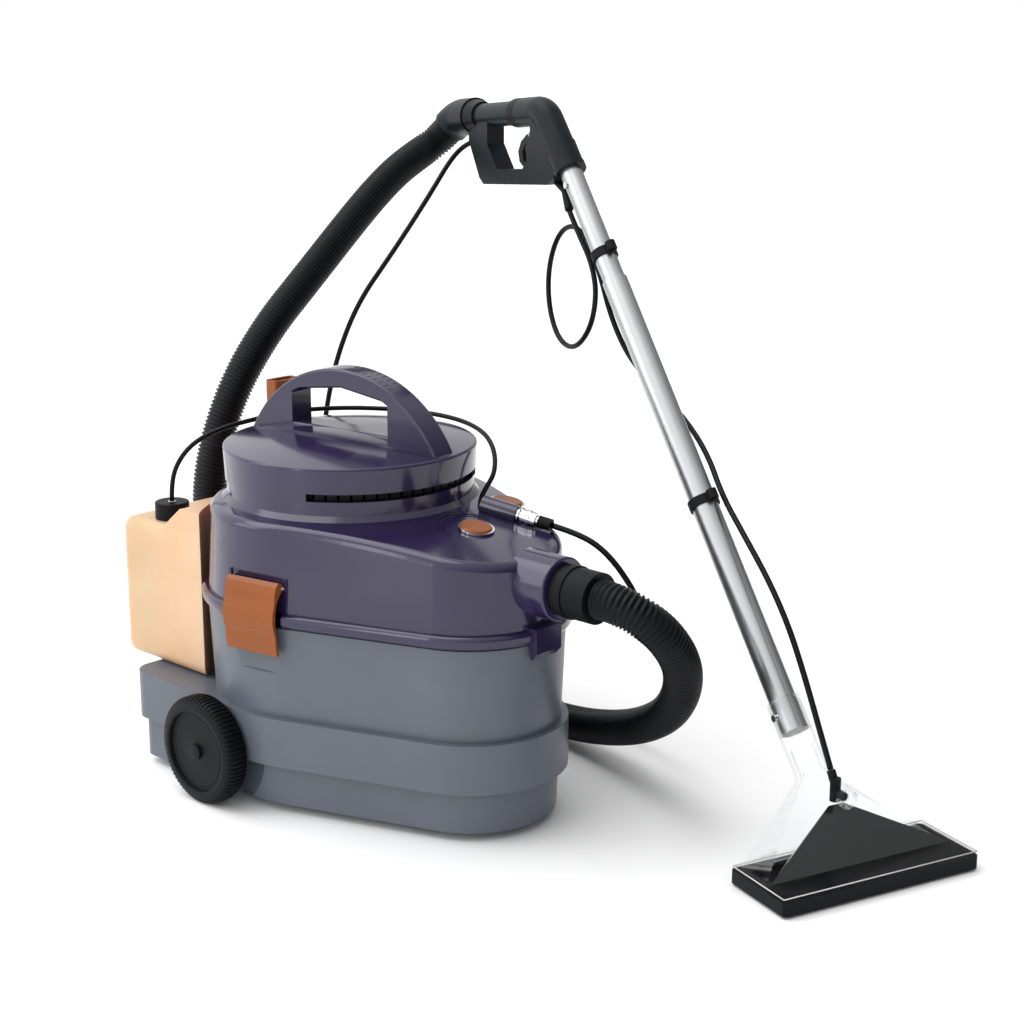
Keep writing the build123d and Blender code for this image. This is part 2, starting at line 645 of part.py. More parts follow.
with BuildPart() as lens:
    with BuildSketch(Plane.XY.offset(LID_EDGE - 9)):
        with BuildLine():
            ThreePointArc((-142, -14), (-10, -47), (140, -16))
            Line((140, -16), (140, 16))
            ThreePointArc((140, 16), (-10, 47), (-142, 14))
            Line((-142, 14), (-142, -14))
        make_face()
    extrude(amount=26)
    add(dome_solid(LID_R, -2.5), mode=Mode.INTERSECT)

with BuildPart() as carry_handle:
    add(lens.part.rotate(Axis.Z, HANDLE_TURN))
    add(arch.part)
    add(dome_solid(LID_R + 20, 0), mode=Mode.SUBTRACT)
save(carry_handle.part, "carry_handle")

with BuildPart() as tool_holder:
    with BuildSketch(Plane.XY.offset(404.1)):
        with Locations((-160.5, 36)):
            RectangleRounded(14, 34, 4)
    extrude(amount=53.9)
    with BuildSketch(Plane.XY.offset(425)):
        with Locations((-164.5, 38)):
            RectangleRounded(22, 42, 5)
    extrude(amount=33)
    # notch that the bottle's tube runs through
    with Locations((-169, 36, 414.5)):
        Box(22, 60, 11, mode=Mode.SUBTRACT)
    # socket for tools
    with Locations((-164.5, 38, 458)):
        Box(12, 30, 50, mode=Mode.SUBTRACT)
save(tool_holder.part, "tool_holder")

# ---------------------------------------------------------------- inside the head
with BuildPart() as head_plate:
    with BuildSketch(Plane.XY.offset(234)):
        add(egg(0, 5.2))
        Circle(18, mode=Mode.SUBTRACT)
        with Locations((256, 0)):
            Circle(26.2, mode=Mode.SUBTRACT)
    extrude(amount=4)
save(head_plate.part, "head_plate")

with BuildPart() as motor:
    with Locations((0, 0, 238.1)):
        Cylinder(88, 24, align=(Align.CENTER, Align.CENTER, Align.MIN))
    with Locations((0, 0, 262)):
        Cylinder(52, 84, align=(Align.CENTER, Align.CENTER, Align.MIN))
    with Locations((0, 0, 241)):
        Cylinder(84, 18, mode=Mode.SUBTRACT, align=(Align.CENTER, Align.CENTER, Align.MIN))
    with Locations((0, 0, 237)):
        Cylinder(20, 8, mode=Mode.SUBTRACT, align=(Align.CENTER, Align.CENTER, Align.MIN))
    with Locations((0, 0, 250)):
        Cylinder(4 + FIT, 90, mode=Mode.SUBTRACT, align=(Align.CENTER, Align.CENTER, Align.MIN))
    # cooling slots in the can
    with BuildSketch(Plane.XY.offset(320)):
        with PolarLocations(50, 10):
            Rectangle(10, 8)
    extrude(amount=16, mode=Mode.SUBTRACT)
save(motor.part, "motor")

with BuildPart() as fan:
    with Locations((0, 0, 246)):
        Cylinder(4, 92, align=(Align.CENTER, Align.CENTER, Align.MIN))
        Cylinder(80, 1.5, align=(Align.CENTER, Align.CENTER, Align.MIN))
    with BuildSketch(Plane.XY.offset(247)):
        with PolarLocations(50, 9):
            with Locations(Rotation(0, 0, 35)):
                Rectangle(46, 1.6)
    extrude(amount=9)
save(fan.part, "fan")

with BuildPart() as float_cage:
    with BuildSketch(Plane.XY.offset(162)):
        Circle(30)
    extrude(amount=71.9)
    with BuildSketch(Plane.XY.offset(230)):
        Circle(46)
    extrude(amount=3.9)
    with Locations((0, 0, 166)):
        Cylinder(26, 90, mode=Mode.SUBTRACT, align=(Align.CENTER, Align.CENTER, Align.MIN))
    with BuildSketch(Plane.XY.offset(170)):
        with PolarLocations(28, 8):
            Rectangle(12, 10)
    extrude(amount=52, mode=Mode.SUBTRACT)
    with BuildSketch(Plane.XY.offset(160)):
        with PolarLocations(14, 6):
            Circle(4)
    extrude(amount=8, mode=Mode.SUBTRACT)
save(float_cage.part, "float_cage")

with BuildPart() as float_ball:
    with Locations((0, 0, 166 + 22.3)):
        Sphere(22)
save(float_ball.part, "float_ball")

with BuildPart() as filter_sleeve:
    with BuildSketch(Plane.XY.offset(172)):
        Circle(42)
        Circle(30.1, mode=Mode.SUBTRACT)
    extrude(amount=57.8)
save(filter_sleeve.part, "filter")

with BuildPart() as pump:
    with Locations((120, -62, 238.1)):
        Box(58, 40, 6, align=(Align.CENTER, Align.CENTER, Align.MIN))
        Cylinder(18, 46, align=(Align.CENTER, Align.CENTER, Align.MIN))
    with Locations((140, -62, 262)):
        Box(22, 26, 24)
    with Locations((160, -62, 262)):
        Cylinder(4, 18, rotation=(0, 90, 0))
save(pump.part, "pump")

with BuildPart() as inlet_deflector:
    with BuildSketch(Plane.XY.offset(212)):
        with Locations((256, 0)):
            Circle(26)
    extrude(amount=INLET_Z + 25.5 - 212)
    with BuildSketch(front_plane(256)):
        with Locations((0, INLET_Z)):
            Circle(26)
    extrude(amount=35)
    with BuildSketch(Plane.XY.offset(210)):
        with Locations((256, 0)):
            Circle(23.5)
    extrude(amount=INLET_Z + 23 - 210, mode=Mode.SUBTRACT)
    with BuildSketch(front_plane(256)):
        with Locations((0, INLET_Z)):
            Circle(23.5)
    extrude(amount=50, mode=Mode.SUBTRACT)
save(inlet_deflector.part, "inlet_deflector")

# ---------------------------------------------------------------- inlet and control panel
with BuildPart() as inlet_collar:
    with BuildSketch(front_plane(286)):
        with Locations((0, INLET_Z)):
            Circle(INLET_R)
    extrude(amount=INLET_FACE - 286)
    fillet(inlet_collar.edges().filter_by(GeomType.CIRCLE).sort_by(Axis.X)[-1], 2.5)
    with BuildSketch(front_plane(280)):
        with Locations((0, INLET_Z)):
            Circle(CUFF_R + GAP)
    extrude(amount=80, mode=Mode.SUBTRACT)
    add(head_outer, mode=Mode.SUBTRACT)
save(inlet_collar.part, "inlet_collar")

with BuildPart() as inlet_cuff:
    with BuildSketch(front_plane(297)):
        with Locations((0, INLET_Z)):
            Circle(CUFF_R)
    extrude(amount=CUFF_END - 297)
    with BuildSketch(front_plane(352)):
        with Locations((0, INLET_Z)):
            Circle(CUFF_R + 1.5)
    extrude(amount=8)
    with BuildSketch(front_plane(290)):
        with Locations((0, INLET_Z)):
            Circle(19)
    extrude(amount=110, mode=Mode.SUBTRACT)
save(inlet_cuff.part, "inlet_cuff")

with BuildPart() as bezels:
    for button in (NEAR_BUTTON, FAR_BUTTON):
        with BuildSketch(button_plane(button, -18)):
            Circle(BUTTON_R + 1.1)
        extrude(amount=19)
        with BuildSketch(button_plane(button, 0.9)):
            Circle(BEZEL_R)
        extrude(amount=2)
        with BuildSketch(button_plane(button, -20)):
            Circle(BUTTON_R + FIT)
        extrude(amount=30, mode=Mode.SUBTRACT)
save(bezels.part, "button_bezels")

with BuildPart() as switches:
    for button in (NEAR_BUTTON, FAR_BUTTON):
        with BuildSketch(button_plane(button, -18.1)):
            Rectangle(14, 10)
        extrude(amount=-3)
        with BuildSketch(button_plane(button, -21)):
            Rectangle(20, 16)
        extrude(amount=-18)
save(switches.part, "button_switches")

for button, name in ((NEAR_BUTTON, "near_button"), (FAR_BUTTON, "far_button")):
    with BuildPart() as cap:
        with BuildSketch(button_plane(button, -10)):
            Circle(BUTTON_R)
        extrude(amount=15)
        fillet(cap.edges().filter_by(GeomType.CIRCLE).sort_by(Axis.Z)[-1], 2.5)
    save(cap.part, name)

with BuildPart() as coupling_socket:
    with BuildSketch(coupling_plane(BOSS_FROM + 20)):
        Circle(4)
    extrude(amount=30)
    with BuildSketch(coupling_plane(BOSS_TO - 0.9)):
        Circle(6)
    extrude(amount=26)
    with BuildSketch(coupling_plane(BOSS_TO - 0.9)):
        Circle(8.5)
    extrude(amount=2)
    with BuildSketch(coupling_plane(BOSS_FROM + 10)):
        Circle(2.2)
    extrude(amount=80, mode=Mode.SUBTRACT)
save(coupling_socket.part, "coupling_socket")

with BuildPart() as coupling_sleeve:
    with BuildSketch(coupling_plane(BOSS_TO + 4.5)):
        Circle(9)
        Circle(6 + FIT, mode=Mode.SUBTRACT)
    extrude(amount=18)
    with BuildSketch(coupling_plane(BOSS_TO + 12)):
        Circle(10)
        Circle(8, mode=Mode.SUBTRACT)
    extrude(amount=3)
save(coupling_sleeve.part, "coupling_sleeve")

with BuildPart() as hose_nipple:
    with BuildSketch(coupling_plane(BOSS_TO + 25.2)):
        Circle(7)
        Circle(SPRAY_D / 2, mode=Mode.SUBTRACT)
    extrude(amount=15.5)
save(hose_nipple.part, "hose_nipple")

with BuildPart() as cord_gland:
    with BuildSketch(Plane(origin=(-86, 118, 262), x_dir=(0, 0, 1), z_dir=(-0.55, 0.835, 0))):
        Circle(9)
    extrude(amount=46)
    with BuildSketch(Plane(origin=(-86, 118, 262), x_dir=(0, 0, 1), z_dir=(-0.55, 0.835, 0))):
        Circle(4)
    extrude(amount=60, mode=Mode.SUBTRACT)
    add(head_outer, mode=Mode.SUBTRACT)
save(cord_gland.part, "cord_gland")

# ---------------------------------------------------------------- latches
with BuildPart() as latch_pins:
    for side in (-1, 1):
        with BuildSketch(latch_plane(side)):
            with Locations((LATCH_PIVOT_R, LATCH_PIVOT_Z)):
                Circle(2)
        extrude(amount=LATCH_WIDE / 2 + 5, both=True)
save(latch_pins.part, "latch_pins")

for side, name in ((-1, "right_latch"), (1, "left_latch")):
    with BuildPart() as latch:
        with BuildSketch(latch_plane(side)):
            with BuildLine():
                Polyline((180, 284), (185, 280), (187.5, 272), (188.5, 262), (192, 250), (193, 240),
                         (191, 228), (188.5, 222), (188.5, 212), (186.5, LATCH_LOW), (182.5, LATCH_LOW),
                         (184.5, 212),
                         (186.3, 224), (188.2, 232), (187.5, 248), (184, 262), (178, 270), (175, 274),
                         (175, 281), close=True)
            make_face()
            with Locations((LATCH_PIVOT_R, LATCH_PIVOT_Z)):
                Circle(5)
        extrude(amount=LATCH_WIDE / 2, both=True)
        with BuildSketch(latch_plane(side)):
            with Locations((LATCH_PIVOT_R, LATCH_PIVOT_Z)):
                Circle(2 + FIT)
        extrude(amount=LATCH_WIDE / 2, both=True, mode=Mode.SUBTRACT)
    save(latch.part, name)

# ---------------------------------------------------------------- wand handle

def on_grip(s, lift=0.0, across=0.0):
    """A point on the grip's axis at a forward position."""
    z = GRIP_LOW[1] + (s - GRIP_LOW[0]) * tan(radians(GRIP_TURN))
    return in_wand(s, z, across) + (FORWARD * -sin(radians(GRIP_TURN)) + UP * cos(radians(GRIP_TURN))) * lift


def across_grip(s):
    """The plane square to the grip's axis, its normal forwards."""
    along = FORWARD * cos(radians(GRIP_TURN)) + UP * sin(radians(GRIP_TURN))
    return Plane(origin=on_grip(s), x_dir=ACROSS, z_dir=along)


ELBOW = on_grip(-697.0)
with BuildPart() as bend:
    with BuildLine() as bend_line:
        FilletPolyline(on_grip(-752), ELBOW, down_wand(0), radius=34)
    with BuildSketch(across_grip(-752)):
        Circle(19)
    sweep()
    with BuildSketch(across_wand(-40)):
        Circle(19.5)
    extrude(amount=40)
    with BuildSketch(across_wand(-8)):
        Circle(20.5)
    extrude(amount=8)
with BuildPart() as bend_bore:
    with BuildLine() as bore_line:
        FilletPolyline(on_grip(-764), ELBOW, down_wand(-28), radius=34)
    with BuildSketch(across_grip(-764)):
        Circle(12.5)
    sweep()

with BuildPart() as handle_body:
    add(bend.part)
    with BuildSketch(across_grip(-889)):
        Circle(GRIP_R)
    extrude(amount=118)
    with BuildSketch(across_grip(-889)):
        Circle(23)
    extrude(amount=20, taper=12)
    # frame round the fingers
    with BuildSketch(WAND_PLANE):
        with BuildLine():
            Polyline((-888, 757), (-888, 728), (-857, 680), (-845, 672.5), (-668, 686), (-652, 696),
                     (-640, 712), (-660, 744), (-700, 772), (-760, 766), close=True)
        make_face()
        with BuildLine():
            Polyline((-834, 757), (-834, 727), (-805, 695.2), (-735, 700.5), (-723, 713), (-726, 730),
                     (-714, 752), (-717, 763), close=True)
        make_face(mode=Mode.SUBTRACT)
    extrude(amount=13, both=True)
    # slot for the trigger in the front of the frame
    with BuildSketch(WAND_PLANE):
        with BuildLine():
            Polyline((-748, 699), (-705, 702), (-702, 735), (-706, 756.5), (-748, 754), close=True)
        make_face()
    extrude(amount=6.4, both=True, mode=Mode.SUBTRACT)
    # spigot for the swivelling cuff, and a narrower stretch for the ring
    with BuildSketch(across_grip(-932)):
        Circle(SPIGOT_R)
    extrude(amount=190)
    with BuildSketch(across_grip(-769.8)):
        Circle(19 + GAP)
        Circle(SPIGOT_R, mode=Mode.SUBTRACT)
    extrude(amount=17.1, mode=Mode.SUBTRACT)
    add(bend_bore.part, mode=Mode.SUBTRACT)
    with BuildSketch(across_grip(-940)):
        Circle(12.5)
    extrude(amount=184, mode=Mode.SUBTRACT)
    with BuildSketch(across_wand(-30)):
        Circle(UPPER_TUBE_R)
    extrude(amount=40, mode=Mode.SUBTRACT)
    # room for the spray valve
    with BuildSketch(WAND_PLANE):
        with Locations((-690, 694)):
            Rectangle(44, 11)
    extrude(amount=6.4, both=True, mode=Mode.SUBTRACT)
    with BuildSketch(Plane(origin=in_wand(-672, 693), x_dir=ACROSS, z_dir=FORWARD + UP * -0.45)):
        Circle(4.9)
    extrude(amount=50, mode=Mode.SUBTRACT)
    # holes for the screws and the trigger's pin
    with BuildSketch(WAND_PLANE.offset(-20)):
        with Locations(*SCREWS):
            Circle(2)
        with Locations(TRIGGER_PIVOT):
            Circle(2.5)
    extrude(amount=40, mode=Mode.SUBTRACT)
handle_far = handle_body.part.split(WAND_PLANE, keep=Keep.BOTTOM)
handle_near = handle_body.part.split(WAND_PLANE, keep=Keep.TOP)
save(handle_near, "handle_right_shell")
save(handle_far, "handle_left_shell")

with BuildPart() as handle_fasteners:
    with BuildSketch(WAND_PLANE.offset(-12)):
        with Locations(*SCREWS):
            Circle(2)
        with Locations(TRIGGER_PIVOT):
            Circle(2.5)
    extrude(amount=24)
save(handle_fasteners.part, "handle_fasteners")

with BuildPart() as trigger:
    with BuildSketch(WAND_PLANE):
        with BuildLine():
            Polyline((-716, 751), (-737, 745), (-752, 735), (-759.5, 722), (-756, 709), (-746, 703.2),
                     (-738, 704.5), (-745, 712), (-748, 722), (-742, 731), (-732, 737), (-716, 741),
                     close=True)
        make_face()
        with Locations(TRIGGER_PIVOT):
            Circle(5)
            Circle(2.5 + FIT, mode=Mode.SUBTRACT)
    extrude(amount=5.6, both=True)
save(trigger.part, "trigger")

with BuildPart() as spray_valve:
    with BuildSketch(WAND_PLANE):
        with Locations((-690, 694)):
            Rectangle(43.6, 10.6)
    extrude(amount=6, both=True)
    with BuildSketch(Plane(origin=in_wand(-672, 693), x_dir=ACROSS, z_dir=FORWARD + UP * -0.45)):
        Circle(4.8)
    extrude(amount=38)
    hose_way = FORWARD * 21 + UP * -24 + ACROSS * -6
    with BuildSketch(Plane(origin=in_wand(-641, 681, -1), x_dir=ACROSS, z_dir=hose_way)):
        Circle(5.5)
    extrude(amount=30)
save(spray_valve.part, "spray_valve")

with BuildPart() as grip_ring:
    with BuildSketch(across_grip(-769.5)):
        Circle(19)
        Circle(SPIGOT_R + FIT, mode=Mode.SUBTRACT)
    extrude(amount=16.5)
save(grip_ring.part, "grip_ring")

CUFF_BEND = on_grip(-944)
cuff_out = Vector(*CUFF_OUT).normalized()
with BuildPart() as hose_end_cuff:
    with BuildLine():
        FilletPolyline(on_grip(-890.5), CUFF_BEND, CUFF_BEND + cuff_out * 19, radius=40)
    with BuildSketch(across_grip(-890.5)):
        Circle(25)
    sweep()
    with BuildSketch(across_grip(-934)):
        Circle(SPIGOT_R + FIT)
    extrude(amount=60, mode=Mode.SUBTRACT)
    with BuildSketch(across_grip(-936)):
        Circle(12)
    extrude(amount=30, mode=Mode.SUBTRACT)
save(hose_end_cuff.part, "hose_end_cuff")

# ---------------------------------------------------------------- wand tubes
with BuildPart() as upper_tube:
    with BuildSketch(across_wand(-30)):
        Circle(UPPER_TUBE_R)
        Circle(UPPER_TUBE_R - TUBE_WALL, mode=Mode.SUBTRACT)
    extrude(amount=JOINT_AT + 30 + 34)
    with BuildSketch(Plane(origin=down_wand(20, 0, -30), x_dir=UP, z_dir=ACROSS)):
        Circle(4 + FIT)
    extrude(amount=30, mode=Mode.SUBTRACT)
save(upper_tube.part, "upper_tube")

with BuildPart() as lower_tube:
    with BuildSketch(across_wand(JOINT_AT)):
        Circle(LOWER_TUBE_R)
        Circle(UPPER_TUBE_R, mode=Mode.SUBTRACT)
    extrude(amount=LOWER_END + 34 - JOINT_AT)
    with BuildSketch(Plane(origin=down_wand(752, 0, -30), x_dir=UP, z_dir=ACROSS)):
        Circle(4 + FIT)
    extrude(amount=30, mode=Mode.SUBTRACT)
save(lower_tube.part, "lower_tube")

TUBE_BUTTONS = ((20, 10.5, 16.5, "upper_tube_button"), (752, 11.5, 21.5, "lower_tube_button"))
for distance, low, high, name in TUBE_BUTTONS:
    with BuildPart() as pin:
        with BuildSketch(Plane(origin=down_wand(distance, 0, -high), x_dir=UP, z_dir=ACROSS)):
            Circle(4)
        extrude(amount=high - low)
        fillet(pin.edges().filter_by(GeomType.CIRCLE).sort_by(SortBy.DISTANCE, reverse=True)[:1], 0.8)
    save(pin.part, name)

with BuildPart() as hose_clips:
    for distance, tube_r in ((122, UPPER_TUBE_R), (474, LOWER_TUBE_R)):
        with BuildSketch(across_wand(distance)):
            Circle(tube_r + 2.5)
            with Locations((tube_r + 6.5, 0)):
                Circle(6.5)
            Circle(tube_r, mode=Mode.SUBTRACT)
            with Locations((tube_r + 6.5, 0)):
                Circle(SPRAY_D / 2 + 0.5, mode=Mode.SUBTRACT)
        extrude(amount=11)
save(hose_clips.part, "hose_clips")

# ---------------------------------------------------------------- nozzle
def hood_solid(thin):
    """Filled shape of the hood between its plate and its neck, drawn in by a wall thickness."""
    with BuildPart() as shape:
        with BuildSketch(NOZZLE_PLANE.offset(SOLE_TOP + 2)) as foot:
            with Locations((-21, 0)):
                Rectangle(54 - 2 * thin, 244 - 2 * thin)
        with BuildSketch(across_wand(COLLAR_END)) as neck:
            RectangleRounded(34 - 2 * thin, 34 - 2 * thin, 12)
        loft([foot.sketch.face(), neck.sketch.face()])
    return shape.part


hood_filled = hood_solid(0)
with BuildPart() as nozzle_hood:
    add(hood_filled)
    with BuildSketch(across_wand(LOWER_END - 4)):
        Circle(20)
    extrude(amount=COLLAR_END - LOWER_END + 6)
    with BuildSketch(NOZZLE_PLANE.offset(SOLE_TOP + 2)):
        RectangleRounded(NOZZLE_DEEP - 3, NOZZLE_WIDE - 4, 4)
    extrude(amount=4)
    add(hood_solid(2.5), mode=Mode.SUBTRACT)
    with BuildSketch(across_wand(COLLAR_END - 30)):
        Circle(14)
    extrude(amount=33, mode=Mode.SUBTRACT)
    with BuildSketch(across_wand(LOWER_END - 10)):
        Circle(LOWER_TUBE_R)
    extrude(amount=44, mode=Mode.SUBTRACT)
    with BuildSketch(Plane(origin=down_wand(752, 0, -30), x_dir=UP, z_dir=ACROSS)):
        Circle(4 + FIT)
    extrude(amount=30, mode=Mode.SUBTRACT)
save(nozzle_hood.part, "nozzle_hood")

with BuildPart() as spray_insert:
    slab = Plane(origin=in_wand(12, PLATE_TOP + 0.1), x_dir=ACROSS, z_dir=FORWARD * 50 + UP * 52)
    with BuildSketch(slab):
        with BuildLine():
            Polyline((-120, 0), (120, 0), (10, 70), (-10, 70), close=True)
        make_face()
    extrude(amount=-14)
    add(hood_filled, mode=Mode.SUBTRACT)
    with Locations((*NOZZLE_AT, 0)):
        Box(900, 900, 2 * (PLATE_TOP + 0.1), mode=Mode.SUBTRACT)
save(spray_insert.part.solids().sort_by(SortBy.VOLUME)[-1], "spray_insert")

with BuildPart() as nozzle_sole:
    with BuildSketch(NOZZLE_PLANE.offset(3)):
        RectangleRounded(NOZZLE_DEEP, NOZZLE_WIDE, 5)
    extrude(amount=SOLE_TOP - 1)
    with BuildSketch(NOZZLE_PLANE.offset(0)):
        with Locations((-21, 0)):
            Rectangle(12, 236)
        with Locations((-36, 0), (-6, 0)):
            Rectangle(5, 240)
    extrude(amount=10, mode=Mode.SUBTRACT)
    with BuildSketch(NOZZLE_PLANE.offset(8)):
        with Locations((-21, 0)):
            Rectangle(40, 230)
    extrude(amount=12, mode=Mode.SUBTRACT)
save(nozzle_sole.part, "nozzle_sole")

with BuildPart() as squeegee_lips:
    with BuildSketch(NOZZLE_PLANE.offset(0)):
        with Locations((-36, 0), (-6, 0)):
            Rectangle(4.9, 239.8)
    extrude(amount=8)
save(squeegee_lips.part, "squeegee_lips")

with BuildPart() as spray_elbow:
    with BuildSketch(Plane(origin=in_wand(-41, 74), x_dir=ACROSS, z_dir=UP)):
        Circle(6)
    extrude(amount=26)
    with BuildSketch(Plane(origin=in_wand(-41, 84), x_dir=ACROSS, z_dir=FORWARD)):
        Circle(5)
    extrude(amount=16)
    with BuildSketch(Plane(origin=in_wand(-50, 106), x_dir=ACROSS, z_dir=FORWARD * 9 + UP * -15)):
        Circle(5)
    extrude(amount=14)
    add(hood_filled, mode=Mode.SUBTRACT)
    add(spray_insert.part, mode=Mode.SUBTRACT)
save(spray_elbow.part.solids().sort_by(SortBy.VOLUME)[-1], "spray_elbow")

with BuildPart() as spray_knob:
    with BuildSketch(Plane(origin=in_wand(-24.8, 84), x_dir=ACROSS, z_dir=FORWARD)):
        Circle(11)
    extrude(amount=9)
save(spray_knob.part, "spray_knob")

# ---------------------------------------------------------------- hoses
save(cord(SUCTION_ROUTE, SUCTION_D, "suction_hose"), "suction_hose")
save(cord(SPRAY_ROUTE, SPRAY_D, "spray_hose"), "spray_hose")
save(cord(BOTTLE_ROUTE, BOTTLE_TUBE_D, "bottle_tube"), "bottle_tube")
wand_route = [in_wand(s, z, across) for s, z, across in WAND_HOSE_ROUTE]
save(cord(wand_route, SPRAY_D, "wand_hose"), "wand_hose")
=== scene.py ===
import json
from math import cos, pi, radians, sin, tan

import bmesh
import bpy
from mathutils import Matrix, Vector


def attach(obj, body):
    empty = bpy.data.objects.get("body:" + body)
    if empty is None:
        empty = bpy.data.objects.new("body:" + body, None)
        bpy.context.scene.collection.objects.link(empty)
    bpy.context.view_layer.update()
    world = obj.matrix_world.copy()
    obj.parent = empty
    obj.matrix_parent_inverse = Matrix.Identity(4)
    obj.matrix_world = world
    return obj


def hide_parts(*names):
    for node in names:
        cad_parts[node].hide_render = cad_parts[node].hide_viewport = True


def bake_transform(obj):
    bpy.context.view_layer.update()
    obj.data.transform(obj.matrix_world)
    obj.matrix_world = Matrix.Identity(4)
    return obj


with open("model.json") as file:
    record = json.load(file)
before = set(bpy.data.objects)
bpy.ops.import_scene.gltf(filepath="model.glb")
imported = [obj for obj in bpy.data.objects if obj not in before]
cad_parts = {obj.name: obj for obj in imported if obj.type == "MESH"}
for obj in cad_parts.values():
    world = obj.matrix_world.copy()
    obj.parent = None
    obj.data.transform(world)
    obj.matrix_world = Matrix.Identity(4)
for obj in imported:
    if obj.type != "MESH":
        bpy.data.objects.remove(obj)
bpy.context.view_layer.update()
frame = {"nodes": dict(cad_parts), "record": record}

NODES = frame["nodes"]
AT = Vector((-0.2124, -0.13, 0.0))  # the drum axis in the row frame

scene = bpy.context.scene


def mm(*p):
    """A point of the machine's own frame, in millimetres, in the row frame in metres."""
    return Vector(p) / 1000 + AT


# ------------------------------------------------------------------ camera
CAMERA_AT = Vector((1.72054, -1.54483, 0.92777))
LENS = 70.0
SENSOR = 36.0
back = Vector((0.66360, -0.70363, 0.25403)).normalized()
camera = bpy.data.objects.new("camera", bpy.data.cameras.new("camera"))
scene.collection.objects.link(camera)
camera.data.lens = LENS
camera.data.sensor_width = SENSOR
right = Vector((0, 0, 1)).cross(back).normalized()
upward = back.cross(right)
turn = Matrix((right, upward, back)).transposed()
camera.matrix_world = Matrix.Translation(CAMERA_AT + AT) @ turn.to_4x4()
camera.data.clip_end = 60
scene.camera = camera

# ------------------------------------------------------------------ wand frame
NOZZLE = Vector((632.0, 149.3, 0.0))
LEAN = radians(48.4)
HEADING = radians(-18.6)
FORWARD = Vector((cos(HEADING), sin(HEADING), 0))
ACROSS = Vector((-FORWARD.y, FORWARD.x, 0))
UP = Vector((0, 0, 1))


def in_wand(s, z, across=0.0):
    """A point s ahead of the nozzle, z above the floor and across the wand's own plane."""
    return NOZZLE + FORWARD * s + UP * z + ACROSS * across


# ------------------------------------------------------------------ cords
def nurbs(name, points, radius):
    """A cord's own line: a NURBS spline with the route's points as its control points."""
    data = bpy.data.curves.new(name, "CURVE")
    data.dimensions = "3D"
    spline = data.splines.new("NURBS")
    spline.points.add(len(points) - 1)
    for point, co in zip(spline.points, points):
        point.co = (*co, 1)
    spline.order_u = 3
    spline.use_endpoint_u = True
    data.resolution_u = 12
    data.bevel_depth = radius
    data.bevel_resolution = 5
    ob = bpy.data.objects.new(name, data)
    scene.collection.objects.link(ob)
    return ob


def centre_line(points):
    """Points read from the route's spline."""
    probe = nurbs("probe", points, 0.0)
    bpy.context.view_layer.update()
    flat = bpy.data.meshes.new_from_object(probe)
    line = [v.co.copy() for v in flat.vertices]
    bpy.data.objects.remove(probe)
    return line


def resample(line, step):
    """Evenly spaced points along a line."""
    out = [line[0].copy()]
    walked = 0.0
    for a, b in zip(line, line[1:]):
        length = (b - a).length
        while walked + length >= step and length > 0:
            a = a + (b - a) * ((step - walked) / length)
            out.append(a.copy())
            length = (b - a).length
            walked = 0.0
        walked += length
    if (out[-1] - line[-1]).length > step * 0.2:
        out.append(line[-1].copy())
    return out


def tube(name, line, radius_at, sides):
    """A mesh tube round a line; radius_at(i) gives the radius at its ith point."""
    bm = bmesh.new()
    tangent = (line[1] - line[0]).normalized()
    side = tangent.orthogonal().normalized()
    rings = []
    for i, point in enumerate(line):
        ahead = line[min(i + 1, len(line) - 1)] - line[max(i - 1, 0)]
        tangent = ahead.normalized()
        side = (side - tangent * side.dot(tangent)).normalized()
        other = tangent.cross(side)
        r = radius_at(i)
        ring = []
        for k in range(sides):
            a = 2 * pi * k / sides
            ring.append(bm.verts.new(point + (side * cos(a) + other * sin(a)) * r))
        rings.append(ring)
    for low, high in zip(rings, rings[1:]):
        for k in range(sides):
            bm.faces.new((low[k], low[(k + 1) % sides], high[(k + 1) % sides], high[k]))
    bm.faces.new(list(reversed(rings[0])))
    bm.faces.new(rings[-1])
    return finish_mesh(name, bm)


def finish_mesh(name, bm):
    """An object made from a bmesh, shaded smooth."""
    bmesh.ops.recalc_face_normals(bm, faces=bm.faces)
    data = bpy.data.meshes.new(name)
    bm.to_mesh(data)
    bm.free()
    for face in data.polygons:
        face.use_smooth = True
    ob = bpy.data.objects.new(name, data)
    scene.collection.objects.link(ob)
    return ob


SUCTION = [
    (392.2, 0.0, 297.0), (406.0, 0.0, 297.0), (423.0, 4.0, 293.0), (437.7, 11.2, 285.4),
    (448.3, 21.3, 274.9), (454.0, 36.0, 260.0), (452.0, 62.0, 232.0), (440.0, 88.0, 200.0),
    (412.0, 118.0, 160.0), (368.0, 150.0, 118.0), (306.0, 182.0, 80.0), (236.0, 212.0, 50.0),
    (162.0, 232.0, 30.0), (86.0, 241.0, 22.8), (8.0, 247.0, 22.3), (-70.0, 246.0, 22.3),
    (-146.0, 234.0, 24.0),
    (-220.0, 206.0, 32.0), (-280.0, 158.0, 58.0), (-310.0, 106.0, 104.0), (-316.0, 60.0, 166.0),
    (-308.0, 24.0, 240.0), (-303.0, 26.0, 330.0), (-301.0, 66.0, 422.0), (-300.0, 128.0, 496.0),
    (-300.0, 196.0, 552.0), (-302.0, 262.0, 606.0), (-305.0, 322.0, 652.0), (-309.0, 370.0, 682.0),
    (-309.0, 408.0, 701.0), (-303.0, 431.0, 714.0), (-289.8, 444.2, 728.7), (-276.5, 447.2, 741.8),
]
